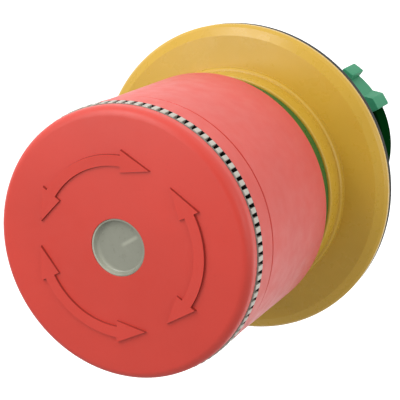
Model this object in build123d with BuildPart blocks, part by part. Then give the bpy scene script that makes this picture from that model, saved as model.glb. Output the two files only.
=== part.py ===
"""Panel-mounted emergency stop actuator: push to latch, turn either way to release.

Millimetres. The push axis is Y. The panel's front face is the plane Y = 0, the head stands in
front of it at negative Y, and the threaded neck passes through the panel towards positive Y.
The origin is the centre of the panel hole, and +Z is up.
Outlines of turned pieces are (radius, depth) points, where depth is the Y coordinate.
"""

import os
from math import cos, radians, sin

from build123d import *

# ---- driving dimensions -------------------------------------------------------------------

HEAD_RADIUS = 22.5  # over the grip ring
PRESS_TRAVEL = 5.5  # how far the head goes in before it latches
BEZEL_RADIUS = 28.2
NECK_RADIUS = 10.9  # goes through a 22.3 mm panel hole
SPINDLE_RADIUS = 6.0
FIT_GAP = 0.1  # between parts that are pushed together
RUNNING_GAP = 0.05  # between the spindle and its bush
HUB_GAP = 0.02  # between the spindle's front end and the skirt's hub
MOVING_GAP = 0.3  # between parts that pass each other
BREAK_EDGE = 0.4  # small chamfer on moulded ends

# depths along the push axis, from the front of the cap to the rear end of the neck
CAP_FRONT = -48.85
CAP_REAR = -45.2
RING_REAR = -43.4
SKIRT_STEP = -39.0
COLLAR_FRONT = -9.1
SKIRT_REAR = COLLAR_FRONT - PRESS_TRAVEL - MOVING_GAP
SLEEVE_FRONT = -19.0
BEZEL_REAR = -1.2
NUT_FRONT = 26.3
NUT_STEP = 28.0
NUT_REAR = 32.3
NECK_REAR = 33.0
RETAINER_REAR = 34.6
PLUNGER_REAR = 34.0

# cap and lens
CAP_RADIUS = 22.3
CAP_EDGE_FILLET = 1.6
DOME_RADIUS = 233.0
CAP_INNER_FACE = -46.2
SPIGOT_RADIUS = 20.6
SPIGOT_WALL = 1.4
SPIGOT_REAR = -42.4
LENS_RADIUS = 4.62
LENS_FLANGE_RADIUS = 5.8
LENS_SEAT = -47.2
LENS_BOSS_RADIUS = 7.3
LENS_BOSS_REAR = -44.6
LENS_FACE = CAP_FRONT + FIT_GAP
LENS_CONE_RADIUS = 4.15
LENS_RIM_RADIUS = 4.36
LENS_CONE = (0.55, 0.75)  # depth of the cone's middle and of its edge below the lens face
LENS_SEAL_WIRE = 0.95
LENS_SEAL_MEAN_RADIUS = 4.6

# raised double-headed arrows, their tops level with the middle of the dome
ARROW_COUNT = 3
ARROW_TURN = -2.0
ARROW_ROOT = -47.9
ARROW_BAND = (13.1, 15.0)
ARROW_HEAD_BASE = (12.1, 15.9)
ARROW_TIP_RADIUS = 14.15
ARROW_BASE_ANGLE = 30.0
ARROW_TIP_ANGLE = 52.2

# grip ring
RING_INNER_RADIUS = SPIGOT_RADIUS + FIT_GAP
TOOTH_COUNT = 92
TOOTH_GAP = 0.58
TOOTH_DEPTH = 1.0
TOOTH_GAP_FRONT = CAP_REAR + 0.3
TOOTH_GAP_FLOOR = 0.55  # length of the gap's deepest part
RING_CHAMFER = 0.15
CUT_MARGIN = 0.1  # how far a cutter stands out of what it cuts

# skirt, its web and its hub
LIP_RADIUS = 22.3
SKIRT_FRONT_RADIUS = 22.15
SKIRT_REAR_RADIUS = 21.75
SKIRT_REAR_FILLET = 0.2
LIP_GROOVE = (0.28, 0.3)  # width and depth of the groove between lip and skirt
SKIRT_INNER_RADIUS = 20.25
WEB_FRONT = -40.6
WEB_REAR = -38.4
HUB_FRONT = -41.4
HUB_REAR = -33.0
HUB_RADIUS = 8.2
HUB_BORE_RADIUS = 5.6
FLATS_WIDTH = 10.0

# small screws
SCREW_HOLE_RADIUS = 1.25
SCREW_SHANK_RADIUS = 1.2
SCREW_HEAD_RADIUS = 2.2
SCREW_HEAD_HEIGHT = 1.6
SCREW_RECESS = (2.8, 0.6, 0.8)  # length, width and depth of each slot of the cross
CAP_SCREW_CIRCLE = 14.0
CAP_SCREW_ANGLES = (30, 150, 270)
CAP_SCREW_LENGTH = 6.0
CAP_BOSS_RADIUS = 2.6
POST_CIRCLE = 13.2
POST_ANGLES = (90, 210, 330)
POST_RADIUS = 2.4
COVER_SCREW_LENGTH = 8.0

# spindle, light guide and plunger
SPINDLE_BORE_RADIUS = 3.8
SPINDLE_FRONT = -43.2
CLIP_GROOVE_RADIUS = 5.0
CLIP_RADIUS = 7.2
CLIP_THICKNESS = 0.8
CLIP_GAP = 50  # degrees left open
LATCH_GROOVE_DEPTH = 0.9
LATCH_GROOVE_SLOPE = 0.5
SPRING_COLLAR_RADIUS = 7.9
SPRING_COLLAR = (-5.9, -5.2)
SWIVEL_FLANGE_RADIUS = 7.2
SWIVEL_FLANGE = (3.4, 4.6)
SWIVEL_RING = (2.2, 3.2)
SWIVEL_RING_BORE = SPINDLE_RADIUS + 0.15
SWIVEL_RING_GAP = 20  # degrees left open
SWIVEL_GROOVE_DEPTH = 0.5
LIGHT_GUIDE_RADIUS = 3.5
LIGHT_GUIDE_COLLAR_RADIUS = 5.4
LIGHT_GUIDE_COLLAR_LENGTH = 1.0
LIGHT_GUIDE_REAR = 16.5
LIGHT_GUIDE_CHAMFER = 0.3
LIGHT_BORE_RADIUS = 4.6
PLUNGER_FRONT = 1.0
PLUNGER_HEAD_RADIUS = 8.7
PLUNGER_SHOULDER = 7.0
PLUNGER_RADIUS = 7.2
LAMP_SOCKET_RADIUS = 5.5
LAMP_SOCKET_FLOOR = 17.0
KEY_RADIUS = 9.7
KEY_SPAN = 18.0  # degrees

# drum, cover, bezel and neck
SLEEVE_RADIUS = 19.85
SLEEVE_CHAMFER = 0.2
DRUM_RADIUS = 18.5
DRUM_INNER_RADIUS = 16.5
DRUM_FLOOR = -3.4
PLATE_RADIUS = 26.0
PLATE_FRONT = -2.4
POST_LENGTH = 14.0
COLLAR_RADIUS = 20.3
COLLAR_FILLET = 0.35
BEAD_RADIUS = 20.7
BEAD = (-5.2, -4.7)  # front and rear edges of the bead at the collar's foot
DISH_ROOT = -4.1
RIM_FACET_INNER = (26.35, -3.5)  # radius and depth where the dish meets the rim's facet
RIM_FACET_OUTER = (27.75, -2.65)
RIM_SIDE_FRONT = -2.1
BEZEL_RIM_FILLET = 0.3
BUSH_RADIUS = 7.6
COVER_FRONT = -22.5
COVER_FLANGE_FRONT = -20.4
COVER_FLANGE_REAR = -17.4
COVER_HUB_RADIUS = 10.2
COVER_HUB_REAR = -10.7
BUSH_FRONT = -20.8
BUSH_REAR = -13.2
SEAL_LIP_GAP = 0.1
SEAL_GROOVE = (0.35, 0.8)  # half width and depth of the groove between lip and wall
GASKET_RADIUS = 28.1
GASKET_HOLE_RADIUS = 11.2
BORE_RADIUS = 9.0
KEYWAY_RADIUS = 9.95
KEYWAY_WIDTH = 3.3
THREAD_FRONT = 3.0
THREAD_PITCH = 2.0
THREAD_TURNS = 15
THREAD_DEPTH = 0.6
THREAD_FLAT = 0.3
RETAINER_BORE_RADIUS = 7.4
RETAINER_SPIGOT_FRONT = 31.0

# latch pawls, their guides and springs
PAWL_FRONT = -9.5
PAWL_REAR = -6.5
PAWL_NOSE = 6.4
PAWL_TAIL = 12.4
PAWL_SLOPE = 1.1
PAWL_WIDTH = 5.0
PAWL_POCKET_RADIUS = 1.35
PAWL_POCKET_DEPTH = 1.8
PAWL_DEPTH = (PAWL_FRONT + PAWL_REAR) / 2
LATCH_GROOVE = (  # front and rear edges; the pawls drop into it at the end of the travel
    PAWL_FRONT - MOVING_GAP - PRESS_TRAVEL,
    PAWL_REAR + MOVING_GAP - PRESS_TRAVEL,
)
GUIDE_MIDDLE = 12.2
GUIDE_LENGTH = 7.4
GUIDE_WIDTH = 7.8
RAIL_WIDTH = 1.2
LATCH_PLATE_REAR = -9.9
LATCH_PLATE_RADIUS = 15.8
LATCH_PLATE_HOLE_RADIUS = 8.6
LATCH_PLATE_THICKNESS = 0.8

# washer and lock nut
WASHER_HOLE_RADIUS = 11.1
WASHER_RADIUS = 15.6
WASHER_FRONT = 25.0
NUT_BORE_RADIUS = 11.0
NUT_RADIUS = 16.8
NUT_RING_RADIUS = 15.2
NUT_CHAMFER = 0.5
LUG_RADIUS = 18.2
LUG_ANGLE = 7.6
RAMP_ANGLE = 5.0
PAD_ANGLE = 33.2
PAD_COUNT = 4
SHOULDER_ANGLE = 90 - PAD_ANGLE


# ---- helpers ------------------------------------------------------------------------------


def square_to_axis(depth):
    """The sketch plane at this depth, seen from the front: x is X, y is Z, and it faces -Y."""
    return Plane.XZ.offset(-depth)


def polar(radius, angle):
    """The flat point at this radius and angle in degrees."""
    return (radius * cos(radians(angle)), radius * sin(radians(angle)))


def outline(*points):
    """A closed (radius, depth) outline, ready to be turned about the push axis."""
    with BuildSketch(Plane.XY) as profile:
        with BuildLine():
            Polyline(*points, close=True)
        make_face()
    return profile.sketch


def tube(inner, outer, front, rear):
    """The outline of a plain tube."""
    return outline((inner, front), (outer, front), (outer, rear), (inner, rear))


def sector(inner, outer, start, span):
    """A piece of a flat ring, from angle start over span degrees."""
    with BuildSketch() as shape:
        with BuildLine():
            rim = CenterArc((0, 0), outer, start, span)
            root = CenterArc((0, 0), inner, start, span)
            Line(rim @ 0, root @ 0)
            Line(rim @ 1, root @ 1)
        make_face()
    return shape.sketch


def circles(radius, circle_radius, angles):
    """Round spots of one radius at these angles on a circle."""
    with BuildSketch() as spots:
        for angle in angles:
            with Locations(polar(circle_radius, angle)):
                Circle(radius)
    return spots.sketch


def coil(start, direction, length, turns, mean_radius, wire_radius):
    """A round-wire spring whose wire centre runs from start over length."""
    with BuildPart() as spring:
        with BuildLine() as path:
            Helix(length / turns, length, mean_radius, center=start, direction=direction)
        with BuildSketch(Plane(origin=path.line @ 0, z_dir=path.line % 0)):
            Circle(wire_radius)
        sweep(is_frenet=True)
    return spring.part


def screw(length):
    """A pan-head screw: its shank points forwards from the origin, its head lies behind it."""
    with BuildPart() as fastener:
        with BuildSketch(square_to_axis(0)):
            Circle(SCREW_SHANK_RADIUS)
        extrude(amount=length)
        with BuildSketch(square_to_axis(0)):
            Circle(SCREW_HEAD_RADIUS)
        extrude(amount=-SCREW_HEAD_HEIGHT)
        slot_length, slot_width, slot_depth = SCREW_RECESS
        with BuildSketch(square_to_axis(SCREW_HEAD_HEIGHT)):
            Rectangle(slot_length, slot_width)
            Rectangle(slot_width, slot_length)
        extrude(amount=slot_depth, mode=Mode.SUBTRACT)
    return fastener.part


def save(builder, name):
    """Labels a finished piece and writes its STEP file."""
    builder.part.label = name
    export_step(builder.part, f"parts/{name}.step")


os.makedirs("parts", exist_ok=True)

# ---- head: turns with the hand and is pushed in ---------------------------------------------


def dome_depth(radius):
    """Depth of the cap's front face at this radius."""
    return CAP_FRONT + radius**2 / (2 * DOME_RADIUS)


def double_arrow():
    """One arrow along a circle with a head at both ends, centred on angle 0."""
    with BuildSketch() as arrow:
        add(sector(*ARROW_BAND, -ARROW_BASE_ANGLE, 2 * ARROW_BASE_ANGLE))
        for side in (1, -1):
            with BuildLine():
                Polyline(
                    polar(ARROW_HEAD_BASE[0], side * ARROW_BASE_ANGLE),
                    polar(ARROW_HEAD_BASE[1], side * ARROW_BASE_ANGLE),
                    polar(ARROW_TIP_RADIUS, side * ARROW_TIP_ANGLE),
                    close=True,
                )
            make_face()
    return arrow.sketch


# Red cap: a shallow dome with a rounded edge, three raised arrows and a stepped lens hole.
LENS_HOLE_RADIUS = LENS_RADIUS + FIT_GAP
with BuildPart() as head_cap:
    with BuildSketch(Plane.XY) as cap_outline:
        with BuildLine():
            ThreePointArc(
                (LENS_HOLE_RADIUS, dome_depth(LENS_HOLE_RADIUS)),
                (CAP_RADIUS / 2, dome_depth(CAP_RADIUS / 2)),
                (CAP_RADIUS, dome_depth(CAP_RADIUS)),
            )
            Polyline(
                (CAP_RADIUS, dome_depth(CAP_RADIUS)),
                (CAP_RADIUS, CAP_REAR),
                (SPIGOT_RADIUS, CAP_REAR),
                (SPIGOT_RADIUS, SPIGOT_REAR),
                (SPIGOT_RADIUS - SPIGOT_WALL, SPIGOT_REAR),
                (SPIGOT_RADIUS - SPIGOT_WALL, CAP_INNER_FACE),
                (LENS_BOSS_RADIUS, CAP_INNER_FACE),
                (LENS_BOSS_RADIUS, LENS_BOSS_REAR),
                (LENS_FLANGE_RADIUS + RUNNING_GAP, LENS_BOSS_REAR),
                (LENS_FLANGE_RADIUS + RUNNING_GAP, LENS_SEAT),
                (LENS_HOLE_RADIUS, LENS_SEAT),
                (LENS_HOLE_RADIUS, dome_depth(LENS_HOLE_RADIUS)),
            )
        make_face()
        rim = cap_outline.vertices().group_by(Axis.X)[-1].sort_by(Axis.Y)[0]
        fillet(rim, CAP_EDGE_FILLET)
    revolve(axis=Axis.Y)
    with BuildSketch(square_to_axis(WEB_FRONT)):
        add(circles(CAP_BOSS_RADIUS, CAP_SCREW_CIRCLE, CAP_SCREW_ANGLES))
    extrude(amount=WEB_FRONT - CAP_INNER_FACE + MOVING_GAP)
    with BuildSketch(square_to_axis(WEB_FRONT)):
        add(circles(SCREW_HOLE_RADIUS, CAP_SCREW_CIRCLE, CAP_SCREW_ANGLES))
    extrude(amount=WEB_FRONT - CAP_REAR, mode=Mode.SUBTRACT)
    with BuildSketch(square_to_axis(ARROW_ROOT)):
        with PolarLocations(0, ARROW_COUNT, ARROW_TURN):
            add(double_arrow())
    extrude(amount=ARROW_ROOT - CAP_FRONT)
save(head_cap, "head_cap")

# Clear lens: a bevelled face with a shallow cone in it, and a flange behind the cap.
with BuildPart() as lens:
    revolve(
        outline(
            (0, LENS_FACE + LENS_CONE[0]),
            (LENS_CONE_RADIUS, LENS_FACE + LENS_CONE[1]),
            (LENS_RIM_RADIUS, LENS_FACE),
            (LENS_RADIUS, LENS_FACE),
            (LENS_RADIUS, LENS_SEAT),
            (LENS_FLANGE_RADIUS, LENS_SEAT),
            (LENS_FLANGE_RADIUS, CAP_INNER_FACE),
            (0, CAP_INNER_FACE),
        ),
        axis=Axis.Y,
    )
save(lens, "lens")

# Rubber ring between the lens flange and the collar of the light guide.
LENS_SEAL_DEPTH = CAP_INNER_FACE + LENS_SEAL_WIRE + RUNNING_GAP
with BuildPart() as lens_seal:
    with BuildSketch(Plane.XY):
        with Locations((LENS_SEAL_MEAN_RADIUS, LENS_SEAL_DEPTH)):
            Circle(LENS_SEAL_WIRE)
    revolve(axis=Axis.Y)
save(lens_seal, "lens_seal")

# Clear rod that brings the lamp's light through the spindle to the lens.
with BuildPart() as light_guide:
    revolve(
        outline(
            (0, CAP_INNER_FACE + FIT_GAP),
            (LIGHT_GUIDE_RADIUS, CAP_INNER_FACE + FIT_GAP),
            (LIGHT_GUIDE_RADIUS, SPINDLE_FRONT - LIGHT_GUIDE_COLLAR_LENGTH),
            (LIGHT_GUIDE_COLLAR_RADIUS, SPINDLE_FRONT - LIGHT_GUIDE_COLLAR_LENGTH),
            (LIGHT_GUIDE_COLLAR_RADIUS, SPINDLE_FRONT),
            (LIGHT_GUIDE_RADIUS, SPINDLE_FRONT),
            (LIGHT_GUIDE_RADIUS, LIGHT_GUIDE_REAR - LIGHT_GUIDE_CHAMFER),
            (LIGHT_GUIDE_RADIUS - LIGHT_GUIDE_CHAMFER, LIGHT_GUIDE_REAR),
            (0, LIGHT_GUIDE_REAR),
        ),
        axis=Axis.Y,
    )
save(light_guide, "light_guide")

# Toothed metal ring, clamped between the cap and the skirt. Its gaps deepen to the rear.
with BuildPart() as grip_ring:
    revolve(
        outline(
            (RING_INNER_RADIUS, CAP_REAR),
            (HEAD_RADIUS - RING_CHAMFER, CAP_REAR),
            (HEAD_RADIUS, CAP_REAR + RING_CHAMFER),
            (HEAD_RADIUS, RING_REAR),
            (RING_INNER_RADIUS, RING_REAR),
        ),
        axis=Axis.Y,
    )
    with BuildPart(mode=Mode.PRIVATE) as gap:
        with BuildSketch(Plane.XY):
            with BuildLine():
                Polyline(
                    (HEAD_RADIUS + CUT_MARGIN, TOOTH_GAP_FRONT),
                    (HEAD_RADIUS + CUT_MARGIN, RING_REAR + CUT_MARGIN),
                    (HEAD_RADIUS - TOOTH_DEPTH, RING_REAR + CUT_MARGIN),
                    (HEAD_RADIUS - TOOTH_DEPTH, RING_REAR - TOOTH_GAP_FLOOR),
                    close=True,
                )
            make_face()
        extrude(amount=TOOTH_GAP / 2, both=True)
    add(
        [gap.part.rotate(Axis.Y, n * 360 / TOOTH_COUNT) for n in range(TOOTH_COUNT)],
        mode=Mode.SUBTRACT,
    )
save(grip_ring, "grip_ring")

# Red rear shell of the head: lip, long skirt, cross web and the hub that holds the spindle.
with BuildPart() as head_skirt:
    groove_width, groove_depth = LIP_GROOVE
    with BuildSketch(Plane.XY) as skirt_outline:
        with BuildLine():
            Polyline(
                (LIP_RADIUS, RING_REAR),
                (LIP_RADIUS, SKIRT_STEP - groove_width / 2),
                (LIP_RADIUS - groove_depth, SKIRT_STEP - groove_width / 2),
                (LIP_RADIUS - groove_depth, SKIRT_STEP + groove_width / 2),
                (SKIRT_FRONT_RADIUS, SKIRT_STEP + groove_width / 2),
                (SKIRT_REAR_RADIUS, SKIRT_REAR),
                (SKIRT_INNER_RADIUS, SKIRT_REAR),
                (SKIRT_INNER_RADIUS, WEB_REAR),
                (HUB_RADIUS, WEB_REAR),
                (HUB_RADIUS, HUB_REAR),
                (0, HUB_REAR),
                (0, HUB_FRONT),
                (HUB_RADIUS, HUB_FRONT),
                (HUB_RADIUS, WEB_FRONT),
                (RING_INNER_RADIUS, WEB_FRONT),
                (RING_INNER_RADIUS, RING_REAR),
                close=True,
            )
        make_face()
        rear_corner = skirt_outline.vertices().group_by(Axis.Y)[-1].sort_by(Axis.X)[-1]
        fillet(rear_corner, SKIRT_REAR_FILLET)
    revolve(axis=Axis.Y)
    with BuildSketch(square_to_axis(HUB_REAR)):
        Circle(HUB_BORE_RADIUS + HUB_GAP)
        Rectangle(3 * HUB_BORE_RADIUS, FLATS_WIDTH + 2 * HUB_GAP, mode=Mode.INTERSECT)
    extrude(amount=HUB_REAR - HUB_FRONT, mode=Mode.SUBTRACT)
    with BuildSketch(square_to_axis(WEB_REAR)):
        add(circles(SCREW_HOLE_RADIUS, CAP_SCREW_CIRCLE, CAP_SCREW_ANGLES))
    extrude(amount=WEB_REAR - WEB_FRONT, mode=Mode.SUBTRACT)
save(head_skirt, "head_skirt")

# Three screws through the skirt's web into the cap.
with BuildPart() as cap_screws:
    for angle in CAP_SCREW_ANGLES:
        x, z = polar(CAP_SCREW_CIRCLE, angle)
        add(screw(CAP_SCREW_LENGTH).moved(Location((x, WEB_REAR, z))))
save(cap_screws, "cap_screws")

# Hollow spindle: clip groove and two flats in front, latch groove, spring collar, rear flange.
with BuildPart() as spindle:
    groove_front, groove_rear = LATCH_GROOVE
    revolve(
        outline(
            (SPINDLE_BORE_RADIUS, SPINDLE_FRONT),
            (HUB_BORE_RADIUS, SPINDLE_FRONT),
            (HUB_BORE_RADIUS, HUB_FRONT - CLIP_THICKNESS),
            (CLIP_GROOVE_RADIUS, HUB_FRONT - CLIP_THICKNESS),
            (CLIP_GROOVE_RADIUS, HUB_FRONT),
            (HUB_BORE_RADIUS, HUB_FRONT),
            (HUB_BORE_RADIUS, HUB_REAR),
            (SPINDLE_RADIUS, HUB_REAR),
            (SPINDLE_RADIUS, groove_front - LATCH_GROOVE_SLOPE),
            (SPINDLE_RADIUS - LATCH_GROOVE_DEPTH, groove_front),
            (SPINDLE_RADIUS - LATCH_GROOVE_DEPTH, groove_rear),
            (SPINDLE_RADIUS, groove_rear + LATCH_GROOVE_SLOPE),
            (SPINDLE_RADIUS, SPRING_COLLAR[0]),
            (SPRING_COLLAR_RADIUS, SPRING_COLLAR[0]),
            (SPRING_COLLAR_RADIUS, SPRING_COLLAR[1]),
            (SPINDLE_RADIUS, SPRING_COLLAR[1]),
            (SPINDLE_RADIUS, SWIVEL_FLANGE[0]),
            (SWIVEL_FLANGE_RADIUS, SWIVEL_FLANGE[0]),
            (SWIVEL_FLANGE_RADIUS, SWIVEL_FLANGE[1]),
            (SPINDLE_BORE_RADIUS, SWIVEL_FLANGE[1]),
        ),
        axis=Axis.Y,
    )
    with BuildSketch(square_to_axis(HUB_REAR)):
        Circle(SPINDLE_RADIUS + FIT_GAP)
        Rectangle(3 * SPINDLE_RADIUS, FLATS_WIDTH, mode=Mode.SUBTRACT)
    extrude(amount=HUB_REAR - SPINDLE_FRONT, mode=Mode.SUBTRACT)
save(spindle, "spindle")

# Spring-steel clip in the spindle's front groove, in front of the skirt's hub.
with BuildPart() as spindle_clip:
    with BuildSketch(square_to_axis(HUB_FRONT)):
        start = 90 + CLIP_GAP / 2
        add(sector(CLIP_GROOVE_RADIUS + RUNNING_GAP, CLIP_RADIUS, start, 360 - CLIP_GAP))
    extrude(amount=CLIP_THICKNESS)
save(spindle_clip, "spindle_clip")

# ---- plunger: carried by the spindle, kept from turning by two keys --------------------------

with BuildPart() as plunger:
    cup_radius = SWIVEL_FLANGE_RADIUS + MOVING_GAP
    cup_floor = SWIVEL_FLANGE[1] + MOVING_GAP
    revolve(
        outline(
            (cup_radius, PLUNGER_FRONT),
            (PLUNGER_HEAD_RADIUS, PLUNGER_FRONT),
            (PLUNGER_HEAD_RADIUS, PLUNGER_SHOULDER),
            (PLUNGER_RADIUS, PLUNGER_SHOULDER),
            (PLUNGER_RADIUS, PLUNGER_REAR),
            (LAMP_SOCKET_RADIUS, PLUNGER_REAR),
            (LAMP_SOCKET_RADIUS, LAMP_SOCKET_FLOOR),
            (LIGHT_BORE_RADIUS, LAMP_SOCKET_FLOOR),
            (LIGHT_BORE_RADIUS, cup_floor),
            (cup_radius, cup_floor),
            (cup_radius, SWIVEL_RING[1]),
            (cup_radius + SWIVEL_GROOVE_DEPTH, SWIVEL_RING[1]),
            (cup_radius + SWIVEL_GROOVE_DEPTH, SWIVEL_RING[0]),
            (cup_radius, SWIVEL_RING[0]),
        ),
        axis=Axis.Y,
    )
    with BuildSketch(square_to_axis(PLUNGER_SHOULDER)):
        for middle in (90, 270):
            start = middle - KEY_SPAN / 2
            add(sector(PLUNGER_HEAD_RADIUS - SWIVEL_GROOVE_DEPTH, KEY_RADIUS, start, KEY_SPAN))
    extrude(amount=PLUNGER_SHOULDER - PLUNGER_FRONT)
save(plunger, "plunger")

# Split ring that traps the spindle's flange in the plunger and lets it turn there.
with BuildPart() as swivel_ring:
    with BuildSketch(square_to_axis(SWIVEL_RING[1])):
        start = 90 + SWIVEL_RING_GAP / 2
        groove_radius = SWIVEL_FLANGE_RADIUS + MOVING_GAP + SWIVEL_GROOVE_DEPTH
        add(sector(SWIVEL_RING_BORE, groove_radius, start, 360 - SWIVEL_RING_GAP))
    extrude(amount=SWIVEL_RING[1] - SWIVEL_RING[0])
save(swivel_ring, "swivel_ring")

# ---- fixed parts ----------------------------------------------------------------------------

# Flat rubber gasket between the bezel and the panel.
with BuildPart() as panel_gasket:
    revolve(tube(GASKET_HOLE_RADIUS, GASKET_RADIUS, BEZEL_REAR, 0), axis=Axis.Y)
save(panel_gasket, "panel_gasket")

# Yellow bezel: a shallow dish with a bevelled rim, a small bead and a collar.
with BuildPart() as bezel:
    with BuildSketch(Plane.XY) as bezel_outline:
        with BuildLine():
            Polyline(
                (PLATE_RADIUS + FIT_GAP, BEZEL_REAR),
                (BEZEL_RADIUS, BEZEL_REAR),
                (BEZEL_RADIUS, RIM_SIDE_FRONT),
                RIM_FACET_OUTER,
                RIM_FACET_INNER,
                (BEAD_RADIUS + FIT_GAP, DISH_ROOT),
                (BEAD_RADIUS, BEAD[1]),
                (BEAD_RADIUS, BEAD[0] + FIT_GAP),
                (COLLAR_RADIUS, BEAD[0]),
                (COLLAR_RADIUS, COLLAR_FRONT),
                (DRUM_RADIUS + FIT_GAP, COLLAR_FRONT),
                (DRUM_RADIUS + FIT_GAP, PLATE_FRONT),
                (PLATE_RADIUS + FIT_GAP, PLATE_FRONT),
                close=True,
            )
        make_face()
        rim_corner = bezel_outline.vertices().group_by(Axis.X)[-1].sort_by(Axis.Y)[0]
        fillet(rim_corner, BEZEL_RIM_FILLET)
        collar_corner = bezel_outline.vertices().group_by(Axis.Y)[0].sort_by(Axis.X)[-1]
        fillet(collar_corner, COLLAR_FILLET)
    revolve(axis=Axis.Y)
save(bezel, "bezel")

# Green sleeve that shows while the head is out and that the skirt covers when it is pressed.
with BuildPart() as indicator_sleeve:
    revolve(
        tube(DRUM_RADIUS + RUNNING_GAP, SLEEVE_RADIUS, SLEEVE_FRONT, COLLAR_FRONT), axis=Axis.Y
    )
    front_edge = indicator_sleeve.edges().group_by(Axis.Y)[0].sort_by(SortBy.RADIUS)[-1]
    chamfer(front_edge, SLEEVE_CHAMFER)
save(indicator_sleeve, "indicator_sleeve")

# Moulded body: the drum that holds the latch, the plate behind the bezel, and the neck.
with BuildPart() as mounting_body:
    revolve(
        outline(
            (DRUM_RADIUS, SLEEVE_FRONT),
            (DRUM_RADIUS, PLATE_FRONT),
            (PLATE_RADIUS, PLATE_FRONT),
            (PLATE_RADIUS, BEZEL_REAR),
            (GASKET_HOLE_RADIUS - FIT_GAP, BEZEL_REAR),
            (GASKET_HOLE_RADIUS - FIT_GAP, 0),
            (NECK_RADIUS, 0),
            (NECK_RADIUS, NECK_REAR),
            (BORE_RADIUS, NECK_REAR),
            (BORE_RADIUS, DRUM_FLOOR),
            (DRUM_INNER_RADIUS, DRUM_FLOOR),
            (DRUM_INNER_RADIUS, SLEEVE_FRONT),
        ),
        axis=Axis.Y,
    )
    # a raised bed for each pawl, with a rail along both its sides
    with BuildSketch(square_to_axis(DRUM_FLOOR)):
        with Locations((GUIDE_MIDDLE, 0), (-GUIDE_MIDDLE, 0)):
            Rectangle(GUIDE_LENGTH, GUIDE_WIDTH)
    extrude(amount=DRUM_FLOOR - PAWL_REAR - FIT_GAP)
    with BuildSketch(square_to_axis(DRUM_FLOOR)):
        rail_offset = (GUIDE_WIDTH - RAIL_WIDTH) / 2
        for x in (GUIDE_MIDDLE, -GUIDE_MIDDLE):
            with Locations((x, rail_offset), (x, -rail_offset)):
                Rectangle(GUIDE_LENGTH, RAIL_WIDTH)
    extrude(amount=DRUM_FLOOR - PAWL_FRONT + MOVING_GAP)
    # posts for the cover screws
    with BuildSketch(square_to_axis(DRUM_FLOOR)):
        add(circles(POST_RADIUS, POST_CIRCLE, POST_ANGLES))
    extrude(amount=POST_LENGTH)
    with BuildSketch(square_to_axis(DRUM_FLOOR - POST_LENGTH)):
        add(circles(SCREW_HOLE_RADIUS, POST_CIRCLE, POST_ANGLES))
    extrude(amount=-COVER_SCREW_LENGTH, mode=Mode.SUBTRACT)
    # two keyways in the bore
    with BuildSketch(square_to_axis(NECK_REAR)):
        Rectangle(KEYWAY_WIDTH, 2 * KEYWAY_RADIUS)
    extrude(amount=NECK_REAR, mode=Mode.SUBTRACT)
    # thread, as a row of ridges
    for turn in range(THREAD_TURNS):
        root = THREAD_FRONT + turn * THREAD_PITCH
        revolve(
            outline(
                (NECK_RADIUS + CUT_MARGIN, root - CUT_MARGIN),
                (NECK_RADIUS - THREAD_DEPTH, root + THREAD_DEPTH),
                (NECK_RADIUS - THREAD_DEPTH, root + THREAD_DEPTH + THREAD_FLAT),
                (NECK_RADIUS + CUT_MARGIN, root + 2 * THREAD_DEPTH + THREAD_FLAT + CUT_MARGIN),
            ),
            axis=Axis.Y,
            mode=Mode.SUBTRACT,
        )
save(mounting_body, "mounting_body")

# Cover that closes the drum, traps the sleeve, holds down the latch plate and carries the bush.
with BuildPart() as body_cover:
    revolve(
        outline(
            (BUSH_RADIUS, COVER_FRONT),
            (COVER_HUB_RADIUS, COVER_FRONT),
            (COVER_HUB_RADIUS, COVER_FLANGE_FRONT),
            (SLEEVE_RADIUS - MOVING_GAP, COVER_FLANGE_FRONT),
            (SLEEVE_RADIUS - MOVING_GAP, SLEEVE_FRONT),
            (DRUM_INNER_RADIUS - FIT_GAP, SLEEVE_FRONT),
            (DRUM_INNER_RADIUS - FIT_GAP, COVER_FLANGE_REAR),
            (COVER_HUB_RADIUS, COVER_FLANGE_REAR),
            (COVER_HUB_RADIUS, COVER_HUB_REAR),
            (BUSH_RADIUS, COVER_HUB_REAR),
        ),
        axis=Axis.Y,
    )
    with BuildSketch(square_to_axis(COVER_FLANGE_REAR)):
        add(circles(SCREW_HOLE_RADIUS, POST_CIRCLE, POST_ANGLES))
    extrude(amount=COVER_FLANGE_REAR - COVER_FLANGE_FRONT, mode=Mode.SUBTRACT)
save(body_cover, "body_cover")

# Three screws that hold the cover on the posts, heads to the front.
with BuildPart() as cover_screws:
    for angle in POST_ANGLES:
        x, z = polar(POST_CIRCLE, angle)
        turned = screw(COVER_SCREW_LENGTH).rotate(Axis.Z, 180)
        add(turned.moved(Location((x, COVER_FLANGE_FRONT, z))))
save(cover_screws, "cover_screws")

# Bush that guides the spindle, with running clearance.
with BuildPart() as guide_bush:
    revolve(tube(SPINDLE_RADIUS + RUNNING_GAP, BUSH_RADIUS, BUSH_FRONT, BUSH_REAR), axis=Axis.Y)
save(guide_bush, "guide_bush")

# Lip seal in front of the bush, with a groove between its lip and its outer wall.
with BuildPart() as spindle_seal:
    lip_middle = (SPINDLE_RADIUS + BUSH_RADIUS) / 2
    groove_half, groove_depth = SEAL_GROOVE
    revolve(
        outline(
            (SPINDLE_RADIUS + SEAL_LIP_GAP, COVER_FRONT),
            (lip_middle - groove_half, COVER_FRONT),
            (lip_middle, COVER_FRONT + groove_depth),
            (lip_middle + groove_half, COVER_FRONT),
            (BUSH_RADIUS, COVER_FRONT),
            (BUSH_RADIUS, BUSH_FRONT - FIT_GAP),
            (SPINDLE_RADIUS + MOVING_GAP, BUSH_FRONT - FIT_GAP),
        ),
        axis=Axis.Y,
    )
save(spindle_seal, "spindle_seal")

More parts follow.
